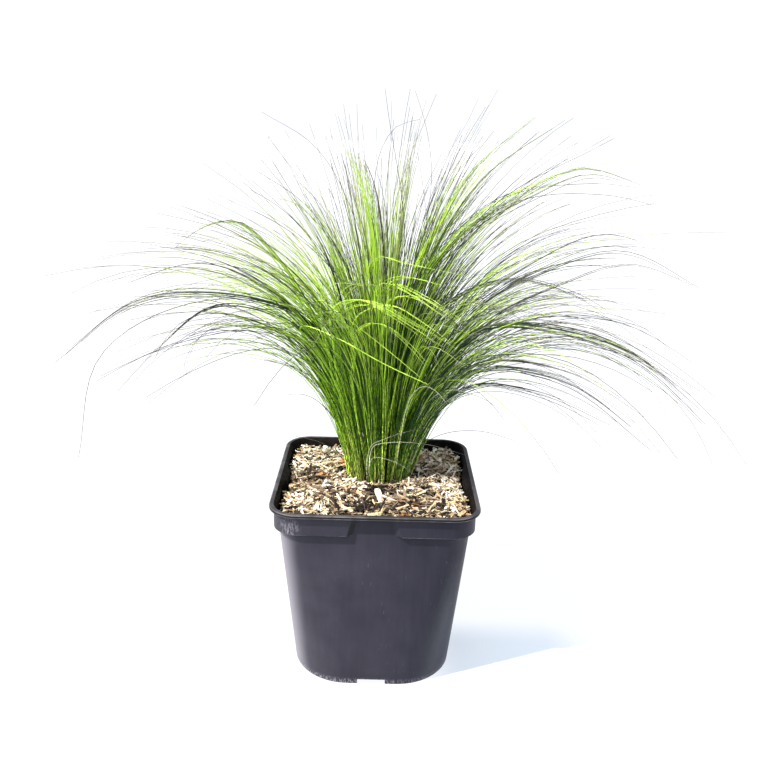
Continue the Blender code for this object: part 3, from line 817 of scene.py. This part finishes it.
def pot_cutters():
    """Blocks for the notches in the foot, and rods for the drain holes."""
    notches, drains = bmesh.new(), bmesh.new()
    for quarter in range(4):
        turned = rotation(90 * quarter)
        moved = Matrix.Translation((0, -FOOT_HALF, (NOTCH_HEIGHT - CUT_PAST) / 2))
        sized = Matrix.Diagonal((NOTCH_WIDTH, 2 * (FOOT_RIM + CUT_PAST), NOTCH_HEIGHT + CUT_PAST, 1))
        bmesh.ops.create_cube(notches, size=1.0, matrix=turned @ moved @ sized)
    for k in range(DRAINS_ROUND + 1):
        turn = 2 * pi * (k + 0.5) / DRAINS_ROUND
        reach = DRAIN_REACH if k < DRAINS_ROUND else 0.0
        place = Matrix.Translation((reach * cos(turn), reach * sin(turn), FLOOR_RAISE))
        bmesh.ops.create_cone(
            drains, cap_ends=True, segments=DRAIN_SIDES, radius1=DRAIN_RADIUS, radius2=DRAIN_RADIUS,
            depth=2 * CUT_PAST, matrix=place,
        )
    return [new_object(name, mesh_of(name, bm)) for name, bm in (("notches", notches), ("drains", drains))]


def make_pot():
    """The pot, with its foot notched, its floor pierced and its edges softened as a mould leaves them."""
    cutters = pot_cutters()

    def modify(holder):
        for cutter in cutters:
            cut = holder.modifiers.new(cutter.name, "BOOLEAN")
            cut.object = cutter
        soften = holder.modifiers.new("moulded_edges", "BEVEL")
        soften.width = MOULDED_EDGE
        soften.segments = 2
        soften.limit_method = "ANGLE"
        soften.angle_limit = radians(SHARP_DEGREES)

    mesh = plain_mesh("nursery_pot", mesh_of("pot_skin", loft(pot_rings())), modify)
    for cutter in cutters:
        bpy.data.objects.remove(cutter)
    mesh.shade_smooth()
    mesh.set_sharp_from_angle(angle=radians(SHARP_DEGREES))
    pot = add_piece("nursery_pot", mesh, moulded_polypropylene())
    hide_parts("pot")
    # The faces that look towards the pot's axis are its inside.
    # The inside gets a darker, duller copy of the material: painted shade.
    mesh.materials.append(soiled_polypropylene())
    for face in mesh.polygons:
        outward = Vector((face.center.x, face.center.y, 0.0)).normalized()
        if face.normal.dot(outward) < INSIDE_FACING:
            face.material_index = 1


def mulch_height(x, y):
    """Height of the mulch's top: lumpy with chips, and lower where it meets the wall."""
    place = Vector((x, y, 0.0)) / MULCH_LUMP_SIZE
    lumps = noise.noise(place) + noise.noise(2 * place) / 2
    edge = max(abs(x), abs(y)) / BODY_TOP_HALF
    back = MULCH_BACK_RISE * (0.5 + 0.5 * y / BODY_TOP_HALF)
    return MULCH_TOP + back + MULCH_LUMP / 2 * lumps - MULCH_EDGE_DROP * edge ** 6


def bed_mesh():
    """The mulch's top, on which the chips are strewn."""
    bm = bmesh.new()
    bmesh.ops.create_grid(bm, x_segments=BED_CELLS, y_segments=BED_CELLS, size=BED_HALF)
    for vert in bm.verts:
        vert.co.z = mulch_height(vert.co.x, vert.co.y)
    return mesh_of("bed", bm)


def wall_room(add, place):
    """How far a chip lies from the wall, which is a rounded square with a recess midway along each side."""
    aside = add("VectorMath ABSOLUTE", place)
    core = COLLAR_HALF - WALL - BED_CORNER
    past = add("VectorMath SUBTRACT", aside, (core, core, 1.0))
    reach = add("VectorMath LENGTH", add("VectorMath MAXIMUM", past, (0.0, 0.0, 0.0)))
    flat = add("SeparateXYZ", past).outputs
    within = add("MINIMUM", add("MAXIMUM", flat["X"], flat["Y"]), 0.0)
    level = add("SeparateXYZ", aside).outputs
    midway = add("MINIMUM", level["X"], level["Y"])
    recess = add("MapRange", midway, RECESS_FOOT_HALF, RECESS_FOOT_HALF + RECESS_SLOPE, COLLAR_STEP, 0.0)
    return add("SUBTRACT", BED_CORNER, reach, within, recess, CHIP_WALL_GAP)


def chip_tint(add, place):
    """How pale a chip is: darker in front of the crown, painted paler to both sides as painted light, dark
    at a few spots.
    """
    spot = add("SeparateXYZ", place).outputs
    darker_front = add("MapRange", spot["Y"], *CHIP_DARKER_FRONT, -CHIP_DARKENING, 0.0)
    # Chips to both sides of the crown are painted paler: painted light.
    aside = add("ABSOLUTE", add("SUBTRACT", spot["X"], CHIP_SHADE_X))
    side_light = add("MapRange", aside, *CHIP_SHADE_REACH, 0.0, CHIP_PAINTED_LIGHT)
    tint = add("ADD", add("RandomValue", Seed=5), darker_front, side_light)
    flat = add("VectorMath MULTIPLY", place, (1.0, 1.0, 0.0))
    for x, y in DARK_SPOTS:
        away = add("VectorMath DISTANCE", flat, (x, y, 0.0))
        tint = add("ADD", tint, add("MapRange", away, *SPOT_REACH, -SPOT_DARKENING, 0.0))
    patchy = add("TexNoise", place, Scale=95.0, Detail=2.0)
    patchy = add("MapRange", patchy, 0.3, 0.7, -CHIP_PATCHES, CHIP_PATCHES)
    return add("ADD", tint, patchy, use_clamp=True)


def chip_tree(material):
    """Strews chips over the bed: none at the wall or in the crown, and each torn in its own way."""
    sizes = dict.fromkeys(("Density", "Shortest", "Longest", "Narrowest", "Widest"), "Float")
    tree, add, given = new_tree("strewn_chips", Seed="Int", **sizes)
    strewn = add("DistributePointsOnFaces", given["Geometry"], Density=given["Density"], Seed=given["Seed"])
    place = add("InputPosition")
    room = wall_room(add, place)
    # How far a chip lies from the middle of the crown, which is an oval.
    off = add("VectorMath MULTIPLY", add("VectorMath SUBTRACT", place, CROWN), (1.0, 1 / CROWN_DEPTH, 0.0))
    off = add("VectorMath LENGTH", off)
    cramped = add("Compare LESS_THAN", A=room, B=CHIP_MARGIN)
    under_leaves = add("Compare LESS_THAN", A=off, B=CROWN_BARE)
    kept = add("DeleteGeometry", strewn, add("BooleanMath OR", cramped, under_leaves))
    floor = add("MapRange", off, CROWN_BARE, WELL_RADIUS, -WELL_FILL, -CHIP_DEPTH)
    top = add("MapRange", off, CROWN_BARE, CROWN_RIM, -CROWN_SINK, CHIP_RISE)
    height = add("RandomValue", Min=floor, Max=top, Seed=3)
    lifted = add("SetPosition", kept, Offset=add("CombineXYZ", Z=height))
    tinted = add("StoreNamedAttribute", lifted, Name="tint", Value=chip_tint(add, place))
    # Most chips are short: a chance is squared before it picks a length between the two ends.
    chance = add("POWER", add("RandomValue", Seed=7), 2.0)
    length = add("MapRange", chance, 0.0, 1.0, given["Shortest"], given["Longest"])
    length = add("MINIMUM", length, add("MULTIPLY", room, 2.0))
    width = add("RandomValue", Min=given["Narrowest"], Max=given["Widest"], Seed=9)
    size = add("CombineXYZ", length, width, add("MULTIPLY", width, CHIP_THICKNESS))
    # A chip may lie on either face, tip up or down, and point anywhere.
    roll, tip, way = CHIP_TURNS
    turn = add("RandomValue", Min=(-roll, -tip, 0.0), Max=(roll, tip, way), Seed=11, **VECTORS)
    block = add("MeshCube", Size=(1.0, 1.0, 1.0), Vertices_X=4, Vertices_Y=2, Vertices_Z=2)
    marked = add("StoreNamedAttribute", block, Name="grain", Value=add("InputPosition"), **VECTORS)
    chips = add("InstanceOnPoints", Points=tinted, Instance=marked, Rotation=turn, Scale=size)
    tear = add("RandomValue", Min=(-CHIP_TEAR,) * 3, Max=(CHIP_TEAR,) * 3, Seed=13, **VECTORS)
    torn = add("SetPosition", add("RealizeInstances", chips), Offset=tear)
    add("GroupOutput", add("SetMaterial", torn, Material=material))
    return tree


def strew_chips(wood):
    """Three kinds of small chips over the bed."""
    tree = chip_tree(wood)
    for seed, (name, *ends) in enumerate(CHIP_KINDS):
        sizes = dict(zip(("Density", "Shortest", "Longest", "Narrowest", "Widest"), ends))
        add_piece(name, grow(name, bed_mesh(), tree, {"Seed": seed, **sizes}), wood)


def store_points(mesh, name, kind, values):
    """Keeps a value for each vertex as an attribute of the mesh."""
    attribute = mesh.attributes.new(name, kind, "POINT")
    field = "vector" if kind == "FLOAT_VECTOR" else "value"
    for item, value in zip(attribute.data, values):
        setattr(item, field, value)


def loose_chip_rings(length, width, thickness, draw):
    """Rings along a torn sliver: wide at one end, arched, with ragged ends and ridges along the grain."""
    ridges = [1 + CHIP_RIDGES * draw.uniform(-1, 1) for _ in range(LOOSE_SIDES)]
    ragged = [[CHIP_RAGGED * draw.uniform(-1, 1) for _ in range(LOOSE_SIDES)] for _ in range(2)]
    rings = []
    for step in range(LOOSE_STEPS + 1):
        along = step / LOOSE_STEPS
        wide = 1 - (1 - CHIP_TAPER) * along + CHIP_BELLY * sin(pi * along)
        ring = []
        for side in range(LOOSE_SIDES):
            turn = 2 * pi * side / LOOSE_SIDES
            across, upward = [
                copysign(abs(share) ** CHIP_SQUARENESS, share) / 2
                for share in (cos(turn), sin(turn))
            ]
            wobble = ridges[side] + CHIP_WOBBLE * draw.uniform(-1, 1)
            tear = ragged[0][side] * (1 - along) ** 4 + ragged[1][side] * along ** 4
            ring.append(Vector((
                (along - 0.5 + tear) * length, across * wide * wobble * width,
                (upward * wobble + CHIP_ARCH * sin(pi * along)) * thickness,
            )))
        rings.append(ring)
    return rings


def make_loose_chip(name, x, y, bearing, length, width, thickness, tilt, pale, wood):
    """One of the larger chips, lying where the frame has it."""
    draw = random.Random(name)
    bm = loft(loose_chip_rings(length, width, thickness, draw))
    mesh = mesh_of(f"{name}_wood", bm)
    store_points(mesh, "grain", "FLOAT_VECTOR", [
        Vector((vert.co.x / length, vert.co.y / width, vert.co.z / thickness)) for vert in mesh.vertices
    ])
    store_points(mesh, "tint", "FLOAT", [pale] * len(mesh.vertices))
    turned = rotation(bearing) @ rotation(tilt, "Y")
    mesh.transform(turned)
    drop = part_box(name)[0].z - min(vert.co.z for vert in mesh.vertices)
    mesh.transform(Matrix.Translation((x, y, drop)))
    chip = add_piece(f"{name}_wood", mesh, wood)
    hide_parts(name)


def leaf_spot(add, given, leaf, strand, along):
    """Where a point of a leaf goes. It turns with its strand and a little on its own, and wanders."""
    both_ways = {"Min": (-1.0, -1.0, -1.0), "Max": (1.0, 1.0, 1.0), **VECTORS}
    shared = add("RandomValue", ID=strand, Seed=given["Seed"], **both_ways)
    single = add("RandomValue", ID=leaf, Seed=add("ADD", given["Seed"], KIN_SEED), **both_ways)
    # Most strands keep to the middle of their lock: the chance is squared and keeps its sign.
    shared = add("VectorMath MULTIPLY", shared, add("VectorMath ABSOLUTE", shared))
    turn = add("VectorMath ADD", shared, add("VectorMath SCALE", single, Scale=OWN_TURN))
    turn = add("SeparateXYZ", turn).outputs
    level = {"Min": (-1.0, -1.0, 0.0), "Max": (1.0, 1.0, 0.0), **VECTORS}
    seed = add("ADD", given["Seed"], SIDE_SEED)
    together, alone = [add("RandomValue", ID=mark, Seed=seed, **level) for mark in (strand, leaf)]
    aside = add("Mix", OWN_SPREAD, together, alone, data_type="VECTOR")
    aside = add("VectorMath SCALE", aside, Scale=given["Spread"])
    place = add("InputPosition")
    arm = add("VectorMath SUBTRACT", place, given["Root"])
    droop = add("MULTIPLY", add("SUBTRACT", turn["X"], given["Lift"]), given["Bend"], along)
    arm = add("VectorRotate", arm, Axis=given["Side"], Angle=droop)
    swing = add("MULTIPLY", turn["Y"], given["Fan"])
    arm = add("VectorRotate", arm, Angle=swing, rotation_type="Z_AXIS")
    # Each strand wanders on its own way, more so towards the tips, and its leaves drift apart.
    own = add("ADD", add("MULTIPLY", strand, STRAND_DRIFT), add("MULTIPLY", leaf, LEAF_DRIFT))
    drift = add("TexNoise", place, W=own, Scale=1 / WAVE_LENGTH, Detail=0.0, noise_dimensions="4D")
    drift = add("VectorMath SUBTRACT", drift.outputs["Color"], (0.5, 0.5, 0.5))
    drift = add("VectorMath SCALE", drift, Scale=add("MULTIPLY", given["Wander"], along))
    return add("VectorMath ADD", given["Root"], aside, arm, drift)


def leaf_tree(material):
    """Turns each guide into a lock of leaves that part from each other, each thinning out to its tip."""
    sizes = {"Leaves": "Int", "Seed": "Int", "Steps": "Int", "Root": "Vector", "Side": "Vector"}
    measures = "Spread Fan Bend Lift Shortest Wander Width Dullest Brightest Ripeness".split()
    tree, add, given = new_tree("lock_of_leaves", **sizes, **dict.fromkeys(measures, "Float"))
    guide = add("MeshToCurve", given["Geometry"])
    copies = add("DuplicateElements", guide, Amount=given["Leaves"], domain="SPLINE")
    counted = add(
        "StoreNamedAttribute", copies, Name="leaf", Value=add("InputIndex"), data_type="INT", domain="CURVE"
    )
    leaf = add("InputNamedAttribute", Name="leaf", data_type="INT")
    # A lock parts into strands of a few leaves.
    strand = add("FLOOR", add("DIVIDE", leaf, STRAND_LEAVES))
    along = add("SplineParameter").outputs["Factor"]
    parted = add("SetPosition", counted, Position=leaf_spot(add, given, leaf, strand, along))
    # A chance picks where each leaf ends between its full length and the shortest.
    fate = add("RandomValue", ID=leaf, Seed=add("ADD", given["Seed"], FATE_SEED), **VECTORS)
    fate = add("SeparateXYZ", fate).outputs
    end = add("MapRange", fate["X"], 0.0, 1.0, 1.0, given["Shortest"])
    cut = add("TrimCurve", parted, End=end, mode="FACTOR")
    even = add("ResampleCurve", cut, Count=given["Steps"])
    # A short leaf is green to its tip: only the last stretch of a full length turns grey.
    ripe = add("MULTIPLY", along, end, given["Ripeness"])
    marked = add("StoreNamedAttribute", even, Name="along", Value=ripe)
    # The leaves of a strand are alike in how bright they are, and none is quite like the next.
    kin = add("RandomValue", ID=strand, Seed=add("ADD", given["Seed"], KIN_SEED))
    chance = add("Mix", OWN_TINT, kin, fate["Y"])
    tint = add("MapRange", chance, 0.0, 1.0, given["Dullest"], given["Brightest"])
    tinted = add("StoreNamedAttribute", marked, Name="tint", Value=tint)
    thin = add("MapRange", add("POWER", along, TAPER_DELAY), 0.0, 1.0, 0.5, LEAF_TIP / 2)
    stout = add("MapRange", fate["Z"], 0.0, 1.0, *LEAF_STOUTNESS)
    thin = add("MULTIPLY", thin, stout, given["Width"])
    outline = add("CurvePrimitiveCircle", Resolution=LEAF_SIDES, Radius=1.0)
    leaves = add("CurveToMesh", Curve=tinted, Profile_Curve=outline, Scale=thin, Fill_Caps=True)
    smooth = add("SetShadeSmooth", add("RealizeInstances", leaves))
    add("GroupOutput", add("SetMaterial", smooth, Material=material))
    return tree


def grow_leaves(name, points, tree, leaf, **sizes):
    """Leaves along a line of points, from a guide that is one open chain of edges."""
    guide = bpy.data.meshes.new(name)
    guide.from_pydata(points, [(k, k + 1) for k in range(len(points) - 1)], [])
    grown = grow(name, guide, tree, {"Root": points[0], "Wander": LEAF_WANDER, **sizes})
    return add_piece(name, grown, leaf)


def lock_line(root, bearing, root_lean, tip_lean, length):
    """Points up a lock. It stands stiffly on its root, bends over midway and hangs straight at the tip."""
    outward = Vector((cos(bearing), sin(bearing), 0.0))
    step = length / GUIDE_STEPS
    points = [root.copy()]
    for k in range(GUIDE_STEPS):
        share = ((k + 0.5) / GUIDE_STEPS) ** BEND_DELAY
        bend = share * share * (3 - 2 * share)
        lean = radians(root_lean + (tip_lean - root_lean) * bend)
        points.append(points[-1] + step * (outward * sin(lean) + Vector((0, 0, cos(lean)))))
    return points


def grow_lock(tree, leaf, ring, number, root, bearing, lean, reach, count):
    """One lock of leaves in the place of one sheaf, brighter towards the sun and darker away from it."""
    name = f"{ring}_leaves_{number:02d}"
    east, north = cos(bearing), sin(bearing)
    left, right, back, front = [max(0.0, share) for share in (-east, east, north, -north)]
    loose = LOCK_LOOSENESS[(3 * number + len(ring)) % len(LOCK_LOOSENESS)]
    loose *= 1 - TIGHT_BACK * back - TIGHT_FRONT * front
    steep = max(0.0, (reach[0] - LEVEL_LEAN) / (STEEPEST_LEAN - LEVEL_LEAN))
    shade = cos(bearing - radians(SHADE_BEARING))
    lock = grow_leaves(
        name, lock_line(root, bearing, lean, *reach), tree, leaf,
        Leaves=round(count * (1 - (THIN_LEFT[ring] * left + THIN_RIGHT * right))),
        Seed=100 * (len(ring) + 10 * number), Side=(-north, east, 0.0), Spread=ROOT_SPREAD,
        Fan=radians(LOCK_FAN * loose), Bend=radians(LOCK_BEND * loose),
        Lift=STEEPEST_LIFT * steep - DROOP_RIGHT.get(ring, 0.0) * right,
        Shortest=SHORTEST_LEAVES[ring], Width=LEAF_WIDTH,
        Dullest=LEFT_DULLEST * max(0.0, -shade) - DRIED_RIGHT.get(ring, 0.0) * right,
        Brightest=1.0 - (1.0 - RIGHT_BRIGHTEST) * max(0.0, shade),
        Ripeness=1.0 + RIPER_LEFT * left, Steps=LOCK_STEPS,
    )
    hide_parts(f"{ring}_sheaf_{number:02d}")


def grow_tuft(tree, leaf):
    """Every lock of the tuft, ring by ring."""
    for ring, radius, lean, first, count, reaches in RINGS:
        for k, reach in enumerate(reaches):
            bearing = radians(first + 360 * k / len(reaches))
            reach_out = radius * ROOT_NARROWING
            root = CROWN + reach_out * Vector((cos(bearing), CROWN_DEPTH * sin(bearing), 0))
            root.x += copysign(CLEFT, root.x - CLEFT_X)
            root.z += SHEAF_ROOT * sin(radians(lean))
            grow_lock(tree, leaf, ring, k + 1, root, bearing, lean, reach, count)


def smooth_line(points):
    """Points along a smooth curve through the given ones, which turns least where they lie far apart."""
    steps = [late - early for early, late in zip(points, points[1:])]
    turns = [
        (before / before.length_squared + after / after.length_squared).normalized()
        for before, after in zip(steps, steps[1:])
    ]
    ways = [steps[0].normalized(), *turns, steps[-1].normalized()]
    line = [points[0]]
    for k, step in enumerate(steps):
        pull = step.length / 3
        start, end = points[k], points[k + 1]
        span = geometry.interpolate_bezier(
            start, start + pull * ways[k], end - pull * ways[k + 1], end, STRAY_STEPS + 1
        )
        line += span[1:]
    return line


def grow_strands(kind, strands, width, tree, leaf):
    """Strands of their own. A bright one stays green to its tips, and a single leaf keeps to its line."""
    for k, (count, parting, dullest, brightest, *places) in enumerate(strands):
        loose = 0.0 if count == 1 else 1.0
        grow_leaves(
            f"{kind}_leaves_{k + 1:02d}", smooth_line([MM * Vector(place) for place in places]), tree, leaf,
            Leaves=count, Seed=7 * k, Side=(0.0, 1.0, 0.0), Spread=STRAY_SPREAD * loose,
            Fan=radians(parting), Bend=radians(parting), Lift=0.0,
            Shortest=1.0 - (1.0 - STRAY_SHORTEST) * loose * (1.0 - dullest),
            Wander=LEAF_WANDER * parting / LOCK_FAN, Width=LEAF_WIDTH * width, Dullest=dullest,
            Brightest=brightest, Ripeness=1.0 - LATE_RIPENESS * dullest, Steps=STRAY_LEAF_STEPS,
        )


def dress_nodes(**materials):
    """Gives the frame's own nodes that stay in view a finished material."""
    for name, material in materials.items():
        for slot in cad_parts[name].material_slots:
            slot.material = material


def main():
    """Camera, light and floor, then the pot, the mulch and the grass."""
    add_camera()
    add_light()
    add_floor()
    make_pot()
    wood = chipped_wood()
    dress_nodes(mulch=wood_fines(), potting_mix=peat_mix())
    strew_chips(wood)
    for chip in LOOSE_CHIPS:
        make_loose_chip(*chip, wood)
    leaf = grass_leaf()
    tree = leaf_tree(leaf)
    grow_tuft(tree, leaf)
    grow_strands("stray", STRAYS, STRAY_WIDTH, tree, leaf)
    grow_strands("bent", BENT, BENT_WIDTH, tree, leaf)


main()
